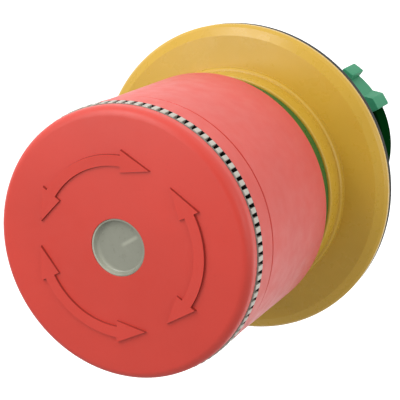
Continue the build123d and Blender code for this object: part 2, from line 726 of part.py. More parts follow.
# Steel plate over the pawls, located on the posts and held down by the cover's hub.
with BuildPart() as latch_plate:
    with BuildSketch(square_to_axis(LATCH_PLATE_REAR)):
        Circle(LATCH_PLATE_RADIUS)
        Circle(LATCH_PLATE_HOLE_RADIUS, mode=Mode.SUBTRACT)
        add(circles(POST_RADIUS + FIT_GAP, POST_CIRCLE, POST_ANGLES), mode=Mode.SUBTRACT)
    extrude(amount=LATCH_PLATE_THICKNESS)
save(latch_plate, "latch_plate")

# Ring that closes the neck, guides the plunger and seats its spring.
with BuildPart() as rear_retainer:
    revolve(
        outline(
            (RETAINER_BORE_RADIUS, RETAINER_SPIGOT_FRONT),
            (BORE_RADIUS - RUNNING_GAP, RETAINER_SPIGOT_FRONT),
            (BORE_RADIUS - RUNNING_GAP, NECK_REAR),
            (NECK_RADIUS, NECK_REAR),
            (NECK_RADIUS, RETAINER_REAR - BREAK_EDGE),
            (NECK_RADIUS - BREAK_EDGE, RETAINER_REAR),
            (RETAINER_BORE_RADIUS, RETAINER_REAR),
        ),
        axis=Axis.Y,
    )
save(rear_retainer, "rear_retainer")

# ---- springs --------------------------------------------------------------------------------

PUSH = (0, 1, 0)

# Return spring between the plunger's shoulder and the rear retainer.
RETURN_WIRE = 0.55
RETURN_MEAN_RADIUS = 8.1
RETURN_TURNS = 8
return_start = PLUNGER_SHOULDER + RETURN_WIRE + FIT_GAP
return_length = RETAINER_SPIGOT_FRONT - PLUNGER_SHOULDER - 2 * (RETURN_WIRE + FIT_GAP)
with BuildPart() as return_spring:
    start = (0, return_start, 0)
    add(coil(start, PUSH, return_length, RETURN_TURNS, RETURN_MEAN_RADIUS, RETURN_WIRE))
save(return_spring, "return_spring")

# Torsion spring between the spindle's collar and the plunger, which turns the head back.
TORSION_WIRE = 0.4
TORSION_MEAN_RADIUS = 7.4
TORSION_TURNS = 5
torsion_start = SPRING_COLLAR[1] + TORSION_WIRE + FIT_GAP
torsion_length = PLUNGER_FRONT - SPRING_COLLAR[1] - 2 * (TORSION_WIRE + FIT_GAP)
with BuildPart() as torsion_spring:
    start = (0, torsion_start, 0)
    add(coil(start, PUSH, torsion_length, TORSION_TURNS, TORSION_MEAN_RADIUS, TORSION_WIRE))
save(torsion_spring, "torsion_spring")

# ---- latch pawls and their springs, one each side -------------------------------------------

PAWL_WIRE = 0.2
PAWL_SPRING_RADIUS = 1.0
PAWL_SPRING_TURNS = 6
PAWL_SPRING_GAP = 0.15  # to the curved wall of the drum
pawl_spring_start = PAWL_TAIL - PAWL_POCKET_DEPTH + PAWL_WIRE + RUNNING_GAP
pawl_spring_length = DRUM_INNER_RADIUS - PAWL_WIRE - PAWL_SPRING_GAP - pawl_spring_start
for name, side in (("left", -1), ("right", 1)):
    with BuildPart() as pawl:
        with BuildSketch(Plane.XY.offset(-PAWL_WIDTH / 2)):
            with BuildLine():
                Polyline(
                    (PAWL_NOSE, PAWL_FRONT + PAWL_SLOPE),
                    (PAWL_NOSE, PAWL_REAR - PAWL_SLOPE),
                    (PAWL_NOSE + PAWL_SLOPE, PAWL_REAR),
                    (PAWL_TAIL, PAWL_REAR),
                    (PAWL_TAIL, PAWL_FRONT),
                    (PAWL_NOSE + PAWL_SLOPE, PAWL_FRONT),
                    close=True,
                )
            make_face()
        extrude(amount=PAWL_WIDTH)
        with BuildSketch(Plane.YZ.offset(PAWL_TAIL - PAWL_POCKET_DEPTH)):
            with Locations((PAWL_DEPTH, 0)):
                Circle(PAWL_POCKET_RADIUS)
        extrude(amount=PAWL_POCKET_DEPTH + FIT_GAP, mode=Mode.SUBTRACT)
        if side < 0:
            mirror(about=Plane.YZ, mode=Mode.REPLACE)
    save(pawl, f"pawl_{name}")

    with BuildPart() as pawl_spring:
        start = (side * pawl_spring_start, PAWL_DEPTH, 0)
        outwards = (side, 0, 0)
        turns = PAWL_SPRING_TURNS
        add(coil(start, outwards, pawl_spring_length, turns, PAWL_SPRING_RADIUS, PAWL_WIRE))
    save(pawl_spring, f"pawl_spring_{name}")

# ---- washer and lock nut behind the panel ---------------------------------------------------

with BuildPart() as thrust_washer:
    revolve(
        tube(WASHER_HOLE_RADIUS, WASHER_RADIUS, WASHER_FRONT, NUT_FRONT - FIT_GAP), axis=Axis.Y
    )
save(thrust_washer, "thrust_washer")

# Lock nut: a ring with four pads, a lug at each end of a pad, and two shoulders at its sides.
with BuildPart() as lock_nut:
    revolve(
        outline(
            (NUT_BORE_RADIUS + NUT_CHAMFER, NUT_FRONT),
            (NUT_RING_RADIUS, NUT_FRONT),
            (NUT_RING_RADIUS, NUT_REAR),
            (NUT_BORE_RADIUS + NUT_CHAMFER, NUT_REAR),
            (NUT_BORE_RADIUS, NUT_REAR - NUT_CHAMFER),
            (NUT_BORE_RADIUS, NUT_FRONT + NUT_CHAMFER),
        ),
        axis=Axis.Y,
    )
    root = NUT_RING_RADIUS - NUT_CHAMFER
    with BuildSketch(square_to_axis(NUT_REAR)):
        for side in (0, 180):
            add(sector(root, NUT_RADIUS, side - SHOULDER_ANGLE / 2, SHOULDER_ANGLE))
    extrude(amount=NUT_REAR - NUT_STEP)
    with BuildSketch(square_to_axis(NUT_REAR)):
        for pad in range(PAD_COUNT):
            start = 45 - PAD_ANGLE / 2 + pad * 360 / PAD_COUNT
            ramp = start + LUG_ANGLE
            add(sector(root, NUT_RADIUS, start, PAD_ANGLE))
            add(sector(root, LUG_RADIUS, start, LUG_ANGLE))
            add(sector(root, LUG_RADIUS, start + PAD_ANGLE - LUG_ANGLE, LUG_ANGLE))
            with BuildLine():
                Polyline(
                    polar(root, ramp - 1),
                    polar(LUG_RADIUS - RUNNING_GAP, ramp - 1),
                    polar(LUG_RADIUS - RUNNING_GAP, ramp),
                    polar(NUT_RADIUS - RUNNING_GAP, ramp + RAMP_ANGLE),
                    polar(root, ramp + RAMP_ANGLE),
                    close=True,
                )
            make_face()
    extrude(amount=NUT_REAR - NUT_FRONT)
save(lock_nut, "lock_nut")
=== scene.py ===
"""Emergency stop actuator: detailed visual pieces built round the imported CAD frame.

Outlines are (radius, depth, rounding) in millimetres, where depth runs along the push axis, which
is Y, and the head faces -Y. Every piece is made in place and rides on the CAD body it belongs to.
"""

from math import atan2, cos, degrees, hypot, pi, radians, sin, tan

import bmesh
import bpy
from mathutils import Matrix, Vector


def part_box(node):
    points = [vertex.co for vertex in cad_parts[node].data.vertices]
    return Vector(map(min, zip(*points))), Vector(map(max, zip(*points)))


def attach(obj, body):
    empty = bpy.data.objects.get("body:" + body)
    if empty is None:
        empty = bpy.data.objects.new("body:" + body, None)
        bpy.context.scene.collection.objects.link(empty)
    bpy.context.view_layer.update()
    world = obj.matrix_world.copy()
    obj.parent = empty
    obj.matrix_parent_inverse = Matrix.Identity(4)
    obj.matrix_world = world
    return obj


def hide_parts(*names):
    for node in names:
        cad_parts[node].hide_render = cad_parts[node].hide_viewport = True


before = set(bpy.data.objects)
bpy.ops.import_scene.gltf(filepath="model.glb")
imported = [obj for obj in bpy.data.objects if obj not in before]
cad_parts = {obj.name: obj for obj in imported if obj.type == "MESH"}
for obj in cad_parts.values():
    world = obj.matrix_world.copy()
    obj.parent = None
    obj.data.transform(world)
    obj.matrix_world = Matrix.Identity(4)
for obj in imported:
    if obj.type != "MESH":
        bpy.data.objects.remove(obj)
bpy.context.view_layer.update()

bl_info = {
    "name": "Emergency Stop Actuator",
    "version": (1, 0, 0),
    "blender": (4, 5, 0),
    "location": "View3D > Sidebar > E-Stop",
    "description": "Builds the visual pieces of a push-to-stop, turn-to-release panel actuator",
    "category": "Add Mesh",
}

MM = 0.001
PUSH_AXIS = (0, 1, 0)
TURN_STEPS = 180
ROUND_SEGMENTS = 5
SMOOTH_ANGLE = radians(35)
MERGE_DISTANCE = 1e-7


def place(node):
    """(front depth, rear depth, outer radius) of a turned CAD node, in millimetres."""
    low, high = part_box(node)
    return round(low.y / MM, 3), round(high.y / MM, 3), round(high.x / MM, 3)


CAP_FRONT, SPIGOT_REAR, CAP_RADIUS = place("head_cap")
RING_FRONT, RING_REAR, RING_RADIUS = place("grip_ring")
SKIRT_FRONT, SKIRT_REAR, LIP_RADIUS = place("head_skirt")
LENS_FRONT, LENS_REAR, LENS_FLANGE_RADIUS = place("lens")
SLEEVE_FRONT, SLEEVE_REAR, SLEEVE_RADIUS = place("indicator_sleeve")
BEZEL_FRONT, BEZEL_REAR, BEZEL_RADIUS = place("bezel")
GASKET_FRONT, GASKET_REAR, GASKET_RADIUS = place("panel_gasket")
BODY_FRONT, NECK_REAR, PLATE_RADIUS = place("mounting_body")
RETAINER_FRONT, RETAINER_REAR, RETAINER_RADIUS = place("rear_retainer")
PLUNGER_FRONT, PLUNGER_REAR, PLUNGER_HEAD_RADIUS = place("plunger")
WASHER_FRONT, WASHER_REAR, WASHER_RADIUS = place("thrust_washer")
NUT_FRONT, NUT_REAR, NUT_RADIUS = place("lock_nut")

# radii and depths that the boxes don't give, in millimetres
PLATE_FRONT = BEZEL_REAR - 1.2
SPIGOT_RADIUS = 20.6
SPIGOT_WALL = 1.4
CAP_INNER_FACE = LENS_REAR
LENS_RADIUS = 4.69
LENS_HOLE_RADIUS = 4.72
LENS_SEAT = -47.2
SKIRT_INNER_RADIUS = 20.25
HUB_RADIUS = 8.2
HUB_BORE_RADIUS = 5.6
DRUM_RADIUS = 18.5
DRUM_INNER_RADIUS = 16.5
NECK_RADIUS = 10.9
NECK_BORE_RADIUS = 9.0
GASKET_HOLE_RADIUS = 11.2
NUT_BORE_RADIUS = 11.0
NUT_RING_RADIUS = 15.2
LUG_RADIUS = 18.2
FIT_GAP = 0.1


# ---- settings a user would change ----------------------------------------------------------


def colour_setting(name, description, default):
    """A colour property in scene-linear red, green and blue."""
    return bpy.props.FloatVectorProperty(
        name=name, description=description, default=default, subtype="COLOR", size=3, min=0, max=1
    )


class HeadSettings(bpy.types.PropertyGroup):
    """Sizes and colours of the red head."""

    edge_rounding: bpy.props.FloatProperty(
        name="Edge rounding", description="Rounding of the cap's rim, in millimetres", default=1.6
    )
    dome_radius: bpy.props.FloatProperty(
        name="Dome radius", description="Radius of the cap's dome, in millimetres", default=233.0
    )
    arrow_top: bpy.props.FloatProperty(
        name="Arrow top", description="From the dome's middle back to the arrows' tops, in mm",
        default=0.02,
    )
    arrow_turn: bpy.props.IntProperty(
        name="Arrow turn", description="Turn of the arrows, in even degrees", default=-2
    )
    tooth_count: bpy.props.IntProperty(
        name="Teeth", description="Number of teeth on the grip ring", default=92
    )
    tooth_width: bpy.props.FloatProperty(
        name="Tooth width", description="Width of a tooth, in millimetres", default=0.92
    )
    red: colour_setting("Red", "Plastic of the cap and the skirt", (0.63, 0.050, 0.032))
    lens: colour_setting("Lens", "Tint of the lens", (0.27, 0.275, 0.22))
    metal: colour_setting("Metal", "Plated grip ring", (0.47, 0.45, 0.39))


class MountSettings(bpy.types.PropertyGroup):
    """Sizes and colours of the parts that stay on the panel."""

    rim_rounding: bpy.props.FloatProperty(
        name="Rim rounding", description="Rounding of the bezel's rim, in millimetres", default=0.4
    )
    thread_pitch: bpy.props.FloatProperty(
        name="Thread pitch", description="Advance of the thread in a turn, in mm", default=2.0
    )
    yellow: colour_setting("Yellow", "Plastic of the bezel", (0.62, 0.38, 0.040))
    green: colour_setting("Green", "Plastic of the indicator sleeve", (0.010, 0.12, 0.020))
    nut: colour_setting("Nut", "Pads and lugs of the lock nut", (0.045, 0.27, 0.140))
    # painted shade: the nut's ring and shoulders are a much darker copy of its green
    nut_ring_shade: colour_setting("Nut ring", "Ring of the lock nut", (0.0008, 0.024, 0.004))
    black: colour_setting("Black", "Plastic of the body and the neck", (0.018, 0.018, 0.019))


class StageSettings(bpy.types.PropertyGroup):
    """Camera and light."""

    azimuth: bpy.props.FloatProperty(
        name="Azimuth", description="Camera's turn from the front", default=radians(25.619),
        subtype="ANGLE",
    )
    elevation: bpy.props.FloatProperty(
        name="Elevation", description="Camera's height angle", default=radians(15.731),
        subtype="ANGLE",
    )
    distance: bpy.props.FloatProperty(
        name="Distance", description="From the camera to its target", default=0.2833,
        subtype="DISTANCE",
    )
    lens_length: bpy.props.FloatProperty(
        name="Focal length", description="In millimetres, on a 36 mm sensor", default=147.9
    )
    floor_drop: bpy.props.FloatProperty(
        name="Floor drop", description="Floor below the push axis", default=0.26,
        subtype="DISTANCE",
    )


# ---- mesh helpers --------------------------------------------------------------------------


def polar(radius, angle, depth):
    """A point in metres from a radius and a depth in millimetres and an angle in degrees."""
    turn = radians(angle)
    return Vector((radius * cos(turn), depth, radius * sin(turn))) * MM


def round_corner(bm, vert, rounding):
    """Rounds one corner of a wire outline."""
    first, second = [(e.other_vert(vert).co - vert.co).normalized() for e in vert.link_edges]
    half_corner = first.angle(second) / 2
    bmesh.ops.bevel(
        bm, geom=[vert], offset=rounding * MM / tan(half_corner), offset_type="OFFSET",
        segments=ROUND_SEGMENTS, profile=0.5, affect="VERTICES", material=-1,
    )


def wire_outline(bm, points):
    """Draws a (radius, depth, rounding) outline as a wire; it is open if it starts on the axis."""
    verts = [bm.verts.new((radius * MM, depth * MM, 0)) for radius, depth, rounding in points]
    ends = verts[1:] if points[0][0] == 0 else verts[1:] + verts[:1]
    for start, end in zip(verts, ends):
        bm.edges.new((start, end))
    for vert, (radius, depth, rounding) in zip(verts, points):
        if rounding:
            round_corner(bm, vert, rounding)


def turned(points, steps=TURN_STEPS):
    """A bmesh: the outline spun a full turn about the push axis."""
    bm = bmesh.new()
    wire_outline(bm, points)
    bmesh.ops.spin(
        bm, geom=bm.verts[:] + bm.edges[:], cent=(0, 0, 0), axis=PUSH_AXIS, angle=2 * pi,
        steps=steps, use_merge=True, use_duplicate=False,
    )
    bmesh.ops.remove_doubles(bm, verts=bm.verts, dist=MERGE_DISTANCE)
    bmesh.ops.recalc_face_normals(bm, faces=bm.faces)
    return bm


def tube(inner, outer, front, rear, rounding):
    """The outline of a tube with all its corners rounded alike."""
    return [
        (inner, front, rounding), (outer, front, rounding),
        (outer, rear, rounding), (inner, rear, rounding),
    ]


def ring_block(bm, inner, outer, front, rear, start, span, steps, softness):
    """Adds a closed piece of a ring, over span degrees from start, with softened edges."""
    corners = ((inner, front), (outer, front), (outer, rear), (inner, rear))
    face = bm.faces.new([bm.verts.new(polar(r, start, depth)) for r, depth in corners])
    before = set(bm.faces) - {face}
    bmesh.ops.spin(
        bm, geom=[face] + face.edges[:] + face.verts[:], cent=(0, 0, 0), axis=PUSH_AXIS,
        angle=-radians(span), steps=steps, use_merge=False, use_duplicate=False,
    )
    new_faces = [f for f in bm.faces if f not in before]
    bmesh.ops.recalc_face_normals(bm, faces=new_faces)
    edges = {e for f in new_faces for e in f.edges if e.calc_face_angle(0) > SMOOTH_ANGLE}
    bmesh.ops.bevel(
        bm, geom=list(edges), offset=softness * MM, offset_type="OFFSET", segments=2,
        profile=0.5, affect="EDGES", material=-1, clamp_overlap=True,
    )


def add_mesh(bm, other):
    """Joins another bmesh into bm and frees it."""
    mesh = bpy.data.meshes.new("joining")
    other.to_mesh(mesh)
    other.free()
    bm.from_mesh(mesh)
    bpy.data.meshes.remove(mesh)


def finished(bm, name, body, node, material):
    """Makes the piece's object, shades it, and puts it on its CAD body in place of its node."""
    mesh = bpy.data.meshes.new(name)
    bm.to_mesh(mesh)
    bm.free()
    mesh.shade_smooth()
    mesh.set_sharp_from_angle(angle=SMOOTH_ANGLE)
    piece = bpy.data.objects.new(name, mesh)
    bpy.context.scene.collection.objects.link(piece)
    mesh.materials.append(material)
    even = piece.modifiers.new("Even shading", "WEIGHTED_NORMAL")
    even.keep_sharp = True
    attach(piece, body)
    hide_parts(node)
    return piece


# ---- materials -----------------------------------------------------------------------------


class Recipe:
    """A material whose nodes are added one by one."""

    def __init__(self, name, roughness, metallic=0.0):
        self.material = bpy.data.materials.new(name)
        self.material.use_nodes = True
        self.tree = self.material.node_tree
        self.shader = self.tree.nodes["Principled BSDF"]
        self.shader.inputs["Roughness"].default_value = roughness
        self.shader.inputs["Metallic"].default_value = metallic
        self.coords = self.tree.nodes.new("ShaderNodeTexCoord").outputs["Object"]

    def link(self, output, node, socket):
        """Joins an output to a named input of a node."""
        self.tree.links.new(output, node.inputs[socket])

    def noise(self, scale, detail=2.0, stretch=(1, 1, 1)):
        """A noise value over the object, scale in features a metre."""
        mapping = self.tree.nodes.new("ShaderNodeMapping")
        mapping.inputs["Scale"].default_value = stretch
        self.link(self.coords, mapping, "Vector")
        node = self.tree.nodes.new("ShaderNodeTexNoise")
        node.inputs["Scale"].default_value = scale
        node.inputs["Detail"].default_value = detail
        self.link(mapping.outputs["Vector"], node, "Vector")
        return node.outputs["Fac"]

    def radius(self):
        """Distance from the push axis, in metres."""
        split = self.tree.nodes.new("ShaderNodeSeparateXYZ")
        self.link(self.coords, split, "Vector")
        flat = self.tree.nodes.new("ShaderNodeCombineXYZ")
        self.link(split.outputs["X"], flat, "X")
        self.link(split.outputs["Z"], flat, "Y")
        length = self.tree.nodes.new("ShaderNodeVectorMath")
        length.operation = "LENGTH"
        self.link(flat.outputs["Vector"], length, 0)
        return length.outputs["Value"]

    def turned_axes(self, angle):
        """Position along and across a line at this angle from +X towards +Z, in metres."""
        mapping = self.tree.nodes.new("ShaderNodeMapping")
        mapping.inputs["Rotation"].default_value = (0, angle, 0)
        self.link(self.coords, mapping, "Vector")
        split = self.tree.nodes.new("ShaderNodeSeparateXYZ")
        self.link(mapping.outputs["Vector"], split, "Vector")
        return split.outputs["X"], split.outputs["Z"]

    def math(self, operation, first, second=None):
        """The result of a Math node."""
        node = self.tree.nodes.new("ShaderNodeMath")
        node.operation = operation
        self.link(first, node, 0)
        if second is not None:
            self.link(second, node, 1)
        return node.outputs["Value"]

    def remap(self, value, low, high, to_low, to_high):
        """Takes a value from one range to another, clamped."""
        node = self.tree.nodes.new("ShaderNodeMapRange")
        node.inputs["From Min"].default_value = low
        node.inputs["From Max"].default_value = high
        node.inputs["To Min"].default_value = to_low
        node.inputs["To Max"].default_value = to_high
        self.link(value, node, "Value")
        return node.outputs["Result"]

    def blend(self, factor, first, second):
        """Mixes two colours, each a triple or an output."""
        node = self.tree.nodes.new("ShaderNodeMix")
        node.data_type = "RGBA"
        self.link(factor, node, 0)
        for socket, colour in ((6, first), (7, second)):
            if isinstance(colour, tuple):
                node.inputs[socket].default_value = (*colour, 1)
            else:
                self.tree.links.new(colour, node.inputs[socket])
        return node.outputs[2]

    def colour(self, output):
        """Sets the shader's base colour."""
        self.link(output, self.shader, "Base Color")

    def roughness(self, output):
        """Sets the shader's roughness."""
        self.link(output, self.shader, "Roughness")

    def bump(self, height, distance):
        """Raises the surface by up to distance, in metres."""
        node = self.tree.nodes.new("ShaderNodeBump")
        node.inputs["Strength"].default_value = 1.0
        node.inputs["Distance"].default_value = distance
        self.link(height, node, "Height")
        self.link(node.outputs["Normal"], self.shader, "Normal")


def shade(colour, factor):
    """A colour made darker or lighter."""
    return tuple(min(1.0, part * factor) for part in colour)


def moulded_plastic(name, colour, roughness=0.36, grain=1.0, soft_light=0.0, gloss=0.5):
    """Injection-moulded plastic: faint flow clouds, a fine spark-eroded grain, uneven gloss."""
    recipe = Recipe(name, roughness)
    clouds = recipe.remap(recipe.noise(55, 3), 0.35, 0.65, 0, 1)
    clouded = recipe.blend(clouds, shade(colour, 0.96), shade(colour, 1.03))
    specks = recipe.remap(recipe.noise(2600, 1), 0.62, 0.82, 0, 1)
    recipe.colour(recipe.blend(specks, clouded, shade(colour, 0.97)))
    uneven = recipe.noise(420, 4)
    recipe.roughness(recipe.remap(uneven, 0.3, 0.7, roughness - 0.05, roughness + 0.06))
    recipe.bump(recipe.noise(5200, 2), 0.000012 * grain)
    recipe.shader.inputs["IOR"].default_value = 1.5
    recipe.shader.inputs["Specular IOR Level"].default_value = gloss
    if soft_light:
        recipe.shader.inputs["Subsurface Weight"].default_value = soft_light
        recipe.shader.inputs["Subsurface Radius"].default_value = (1.0, 0.25, 0.2)
        recipe.shader.inputs["Subsurface Scale"].default_value = 0.0008
    return recipe.material


# painted highlight: a thin lighter streak on the lens runs out from the middle at this angle
STREAK_HIGHLIGHT_ANGLE = radians(33)
# painted highlight: the lens is lighter near its rim on the low left side, at this angle
PAINTED_HIGHLIGHT_ANGLE = radians(205)


def lens_plastic(name, tint):
    """Frosted clear plastic: a painted highlight low on the left, a painted streak highlight from the
    middle outwards.
    """
    recipe = Recipe(name, 0.3)
    marks = recipe.noise(900, 3, stretch=(1, 0.1, 1))
    frosted = recipe.blend(marks, shade(tint, 0.94), shade(tint, 1.06))
    # painted highlight: lighter near the rim on the low left
    near_rim = recipe.remap(recipe.radius(), 3.5 * MM, 4.2 * MM, 0, 0.8)
    low_left = recipe.remap(recipe.turned_axes(PAINTED_HIGHLIGHT_ANGLE)[0], 1.0 * MM, 3.4 * MM, 0, 1)
    painted_highlight = recipe.math("MULTIPLY", near_rim, low_left)
    with_painted_highlight = recipe.blend(painted_highlight, frosted, shade(tint, 1.6))
    # painted highlight: a thin lighter streak from the middle outwards
    along, across = recipe.turned_axes(STREAK_HIGHLIGHT_ANGLE)
    width = recipe.remap(recipe.math("ABSOLUTE", across), 0.1 * MM, 0.42 * MM, 0.55, 0)
    start = recipe.remap(along, 0.2 * MM, 0.9 * MM, 0, 1)
    end = recipe.remap(along, 3.2 * MM, 4.0 * MM, 1, 0)
    painted_streak = recipe.math("MULTIPLY", recipe.math("MULTIPLY", width, start), end)
    recipe.colour(recipe.blend(painted_streak, with_painted_highlight, shade(tint, 1.75)))
    recipe.roughness(recipe.remap(marks, 0.3, 0.7, 0.26, 0.36))
    recipe.bump(recipe.noise(3000, 2), 0.000004)
    recipe.shader.inputs["IOR"].default_value = 1.49
    return recipe.material


def clear_plastic(name):
    """Clear rod with fine drawing lines along it."""
    recipe = Recipe(name, 0.08)
    lines = recipe.noise(1600, 2, stretch=(1, 0.03, 1))
    recipe.colour(recipe.blend(lines, (0.80, 0.86, 0.86), (0.92, 0.95, 0.95)))
    recipe.roughness(recipe.remap(lines, 0.3, 0.7, 0.05, 0.16))
    recipe.shader.inputs["Transmission Weight"].default_value = 0.85
    recipe.shader.inputs["IOR"].default_value = 1.49
    return recipe.material


def plated_metal(name, metal):
    """Satin plated metal with a faint mottle."""
    recipe = Recipe(name, 0.4, metallic=0.35)
    mottle = recipe.remap(recipe.noise(700, 3), 0.35, 0.65, 0, 1)
    recipe.colour(recipe.blend(mottle, shade(metal, 0.90), shade(metal, 1.05)))
    recipe.roughness(recipe.remap(mottle, 0, 1, 0.36, 0.5))
    recipe.bump(recipe.noise(4200, 2), 0.000008)
    return recipe.material


def gap_metal(name, metal, front, rear):
    """The same metal down in the gaps, in painted shade: a darker copy in front, painted near-black
    towards the rear.
    """
    recipe = Recipe(name, 0.6, metallic=0.3)
    split = recipe.tree.nodes.new("ShaderNodeSeparateXYZ")
    recipe.link(recipe.coords, split, "Vector")
    # painted shade: darker towards the rear of the gaps, down to near-black
    painted_shade = recipe.remap(split.outputs["Y"], front * MM, rear * MM, 0, 1)
    mottle = recipe.remap(recipe.noise(1100, 3), 0.35, 0.65, 0, 1)
    shaded_gap_metal = recipe.blend(mottle, shade(metal, 0.5), shade(metal, 0.75))
    recipe.colour(recipe.blend(painted_shade, shaded_gap_metal, (0.004, 0.004, 0.004)))
    recipe.bump(recipe.noise(4200, 2), 0.000008)
    return recipe.material


def bare_metal(name, colour, roughness=0.3, stretch=(1, 1, 1)):
    """Machined or drawn metal: fine lines, dull patches."""
    recipe = Recipe(name, roughness, metallic=1.0)
    lines = recipe.noise(2400, 3, stretch=stretch)
    patches = recipe.remap(recipe.noise(160, 3), 0.35, 0.65, 0, 1)
    recipe.colour(recipe.blend(patches, shade(colour, 0.86), shade(colour, 1.05)))
    recipe.roughness(recipe.remap(lines, 0.3, 0.7, roughness - 0.08, roughness + 0.1))
    recipe.bump(lines, 0.000006)
    return recipe.material


def moulded_rubber(name, colour):
    """Matt rubber with a dusty bloom and small pits."""
    recipe = Recipe(name, 0.75)
    bloom = recipe.remap(recipe.noise(240, 4), 0.4, 0.7, 0, 1)
    recipe.colour(recipe.blend(bloom, colour, shade(colour, 1.7)))
    recipe.roughness(recipe.remap(bloom, 0, 1, 0.68, 0.85))
    recipe.bump(recipe.noise(3600, 3), 0.00002)
    return recipe.material


# ---- operators: the head -------------------------------------------------------------------

ARROW_COUNT = 3
ARROW_BAND = (13.1, 15.0)
ARROW_WINGS = (12.1, 15.9)
ARROW_TIP_RADIUS = 14.15
ARROW_BASE_ANGLE = 30
ARROW_TIP_ANGLE = 52
ARROW_WALL = 0.08
ARROW_RISE = 0.3
BISECT_REACH = 0.02
FACES_FRONT = -0.9


def angle_from(centre, point):
    """(radius in mm, signed angle in degrees) of a point, seen from an arrow's middle."""
    angle = degrees(atan2(point.z, point.x)) - centre
    return hypot(point.x, point.z) / MM, (angle + 180) % 360 - 180


def in_arrow(centre, point):
    """Whether a point lies inside the arrow whose middle is at this angle."""
    radius, angle = angle_from(centre, point)
    if abs(angle) <= ARROW_BASE_ANGLE:
        return ARROW_BAND[0] < radius < ARROW_BAND[1]
    if abs(angle) > ARROW_TIP_ANGLE:
        return False
    here = polar(radius, abs(angle), 0)
    tip = polar(ARROW_TIP_RADIUS, ARROW_TIP_ANGLE, 0)
    inner, outer = (polar(wing, ARROW_BASE_ANGLE, 0) for wing in ARROW_WINGS)
    past_inner = (tip - inner).cross(here - inner).y
    past_outer = (tip - outer).cross(here - outer).y
    return past_outer < 0 < past_inner


def on_cap_front(face):
    """Whether a face belongs to the cap's domed front."""
    return face.normal.y < FACES_FRONT and face.calc_center_median().y < LENS_SEAT * MM


def cut_wings(bm, centre):
    """Cuts the cap's front along the slanting edges of one arrow's two heads."""
    for side in (1, -1):
        tip = polar(ARROW_TIP_RADIUS, centre + side * ARROW_TIP_ANGLE, 0)
        for wing in ARROW_WINGS:
            base = polar(wing, centre + side * ARROW_BASE_ANGLE, 0)
            region = []
            for face in bm.faces:
                radius, angle = angle_from(centre, face.calc_center_median())
                in_span = ARROW_BASE_ANGLE < angle * side < ARROW_TIP_ANGLE
                in_wings = ARROW_WINGS[0] < radius < ARROW_WINGS[1]
                if on_cap_front(face) and in_span and in_wings:
                    region.append(face)
            edges = {e for f in region for e in f.edges}
            verts = {v for f in region for v in f.verts}
            bmesh.ops.bisect_plane(
                bm, geom=region + list(edges) + list(verts), dist=BISECT_REACH * MM,
                plane_co=base, plane_no=(tip - base).cross(Vector(PUSH_AXIS)).normalized(),
            )


def raise_arrows(bm, turn, top):
    """Raises the double-headed arrows to a level top; their walls take the second material, a darker
    red as painted shade.
    """
    centres = [turn + n * 360 / ARROW_COUNT for n in range(ARROW_COUNT)]
    for centre in centres:
        cut_wings(bm, centre)
    raised = []
    for face in bm.faces:
        middle = face.calc_center_median()
        if on_cap_front(face) and any(in_arrow(centre, middle) for centre in centres):
            raised.append(face)
    walls = bmesh.ops.inset_region(
        bm, faces=raised, thickness=ARROW_WALL * MM, depth=ARROW_RISE * MM, use_boundary=True,
        use_even_offset=True,
    )["faces"]
    for vert in {v for f in raised for v in f.verts}:
        vert.co.y = (CAP_FRONT + top) * MM
    for wall in walls:
        wall.material_index = 1


class MakeCap(bpy.types.Operator):
    """Red cap: a shallow dome with a rounded rim, a lens hole and three raised arrows"""

    bl_idname = "estop.make_cap"
    bl_label = "Make cap"

    def execute(self, context):
        head = context.scene.estop_head

        def dome(radius, rounding=0.0):
            """An outline point on the cap's domed front."""
            return radius, CAP_FRONT + radius**2 / (2 * head.dome_radius), rounding

        between = 8.0
        past_arrows = 17.6
        pocket = LENS_FLANGE_RADIUS + 0.05
        wall = LENS_FLANGE_RADIUS + 1.5
        wall_rear = CAP_INNER_FACE + 1.6
        stations = (
            between, ARROW_WINGS[0], ARROW_BAND[0], ARROW_TIP_RADIUS, ARROW_BAND[1],
            ARROW_WINGS[1], past_arrows,
        )
        outline = [dome(LENS_HOLE_RADIUS, 0.05)]
        outline += [dome(radius) for radius in stations]
        outline += [
            dome(CAP_RADIUS, head.edge_rounding),
            (CAP_RADIUS, RING_FRONT, 0.15),
            (SPIGOT_RADIUS, RING_FRONT, 0),
            (SPIGOT_RADIUS, SPIGOT_REAR, 0.2),
            (SPIGOT_RADIUS - SPIGOT_WALL, SPIGOT_REAR, 0.2),
            (SPIGOT_RADIUS - SPIGOT_WALL, CAP_INNER_FACE, 0.4),
            (wall, CAP_INNER_FACE, 0.3),
            (wall, wall_rear, 0.2),
            (pocket, wall_rear, 0.2),
            (pocket, LENS_SEAT, 0),
            (LENS_HOLE_RADIUS, LENS_SEAT, 0),
        ]
        bm = turned(outline)
        raise_arrows(bm, head.arrow_turn, head.arrow_top)
        red = bpy.data.materials["red plastic"]
        cap = finished(bm, "cap_shell", "head", "head_cap", red)
        # painted shade: the arrows' walls are a darker copy of the red
        wall_painted_shade = moulded_plastic("arrow wall painted shade", shade(tuple(head.red), 0.5), 0.5)
        cap.data.materials.append(wall_painted_shade)
        return {"FINISHED"}


class MakeLens(bpy.types.Operator):
    """Lens: a bevelled clear disc with a shallow cone in it and a flange behind the cap"""

    bl_idname = "estop.make_lens"
    bl_label = "Make lens"

    def execute(self, context):
        tint = tuple(context.scene.estop_head.lens)
        rim_front = LENS_FRONT + 0.05
        rim_radius = 4.4
        cone_radius = 4.15
        bm = turned([
            (0, LENS_FRONT + 0.6, 0),
            (cone_radius, LENS_FRONT + 0.8, 0.3),
            (rim_radius, rim_front, 0.06),
            (LENS_RADIUS, rim_front, 0.03),
            (LENS_RADIUS, LENS_SEAT, 0),
            (LENS_FLANGE_RADIUS, LENS_SEAT, 0.1),
            (LENS_FLANGE_RADIUS, LENS_REAR, 0.1),
            (0, LENS_REAR, 0),
        ])
        material = lens_plastic("lens plastic", tint)
        finished(bm, "lens_disc", "head", "lens", material)
        return {"FINISHED"}


